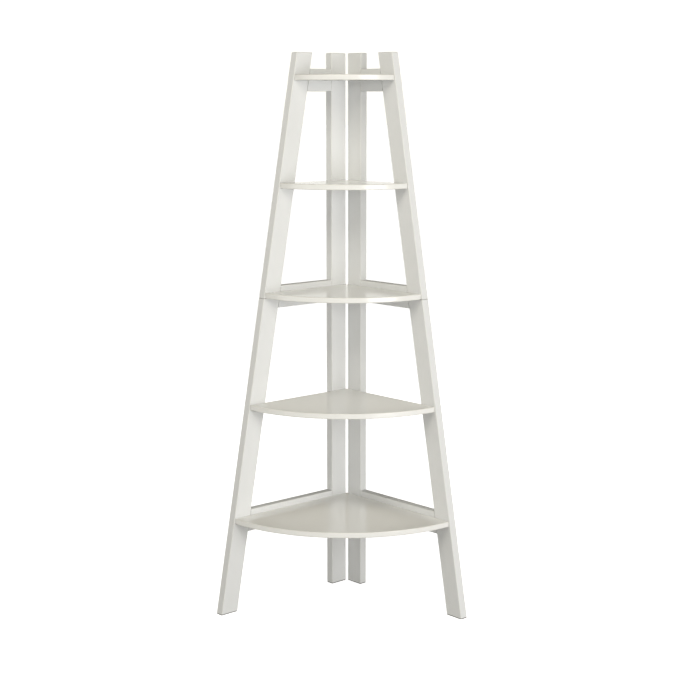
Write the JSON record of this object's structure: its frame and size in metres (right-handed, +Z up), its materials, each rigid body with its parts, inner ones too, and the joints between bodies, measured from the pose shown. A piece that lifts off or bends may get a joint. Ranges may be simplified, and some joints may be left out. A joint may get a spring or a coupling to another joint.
{
  "type": "corner ladder shelf",
  "caption": "White painted wooden ladder shelf that fills a room corner: two leaning ladder frames at right angles carry quarter-round shelves that grow towards the floor.",
  "frame": {"origin": "on the floor, at the middle of the object's footprint box", "axes": "+Z up; -Y is the front, which faces the room; +Y points into the room's corner; the two side frames run from the corner at 45 degrees to each side of -Y"},
  "size_m": [0.7234, 0.4488, 1.6],
  "materials": {
    "frame_paint": "satin white lacquer over solid wood, slightly warm",
    "shelf_paint": "satin white lacquer over fibreboard, smooth",
    "zinc_steel": "bright zinc plate",
    "beech": "bare fluted beech",
    "rubber": "dark grey sheet rubber"
  },
  "bodies": {
    "root": {"left_post_upper": "frame_paint", "left_post_lower": "frame_paint", "left_leg_upper": "frame_paint", "left_leg_lower": "frame_paint", "left_rail_top": "frame_paint", "left_rail_middle": "frame_paint", "left_rail_bottom": "frame_paint", "right_post_upper": "frame_paint", "right_post_lower": "frame_paint", "right_leg_upper": "frame_paint", "right_leg_lower": "frame_paint", "right_rail_top": "frame_paint", "right_rail_middle": "frame_paint", "right_rail_bottom": "frame_paint", "shelf_top": "shelf_paint", "shelf_upper": "shelf_paint", "shelf_middle": "shelf_paint", "shelf_lower": "shelf_paint", "shelf_bottom": "shelf_paint", "left_post_joining_stud": "zinc_steel", "left_top_rail_post_dowel": "beech", "left_middle_rail_post_dowel": "beech", "left_bottom_rail_post_dowel": "beech", "left_top_shelf_post_screw": "zinc_steel", "left_upper_shelf_post_screw": "zinc_steel", "left_middle_shelf_post_screw": "zinc_steel", "left_lower_shelf_post_screw": "zinc_steel", "left_bottom_shelf_post_screw": "zinc_steel", "left_post_foot": "rubber", "left_leg_joining_stud": "zinc_steel", "left_top_rail_leg_dowel": "beech", "left_middle_rail_leg_dowel": "beech", "left_bottom_rail_leg_dowel": "beech", "left_top_shelf_leg_screw": "zinc_steel", "left_upper_shelf_leg_screw": "zinc_steel", "left_middle_shelf_leg_screw": "zinc_steel", "left_lower_shelf_leg_screw": "zinc_steel", "left_bottom_shelf_leg_screw": "zinc_steel", "left_leg_foot": "rubber", "right_post_joining_stud": "zinc_steel", "right_top_rail_post_dowel": "beech", "right_middle_rail_post_dowel": "beech", "right_bottom_rail_post_dowel": "beech", "right_top_shelf_post_screw": "zinc_steel", "right_upper_shelf_post_screw": "zinc_steel", "right_middle_shelf_post_screw": "zinc_steel", "right_lower_shelf_post_screw": "zinc_steel", "right_bottom_shelf_post_screw": "zinc_steel", "right_post_foot": "rubber", "right_leg_joining_stud": "zinc_steel", "right_top_rail_leg_dowel": "beech", "right_middle_rail_leg_dowel": "beech", "right_bottom_rail_leg_dowel": "beech", "right_top_shelf_leg_screw": "zinc_steel", "right_upper_shelf_leg_screw": "zinc_steel", "right_middle_shelf_leg_screw": "zinc_steel", "right_lower_shelf_leg_screw": "zinc_steel", "right_bottom_shelf_leg_screw": "zinc_steel", "right_leg_foot": "rubber"}
  },
  "joints": []
}
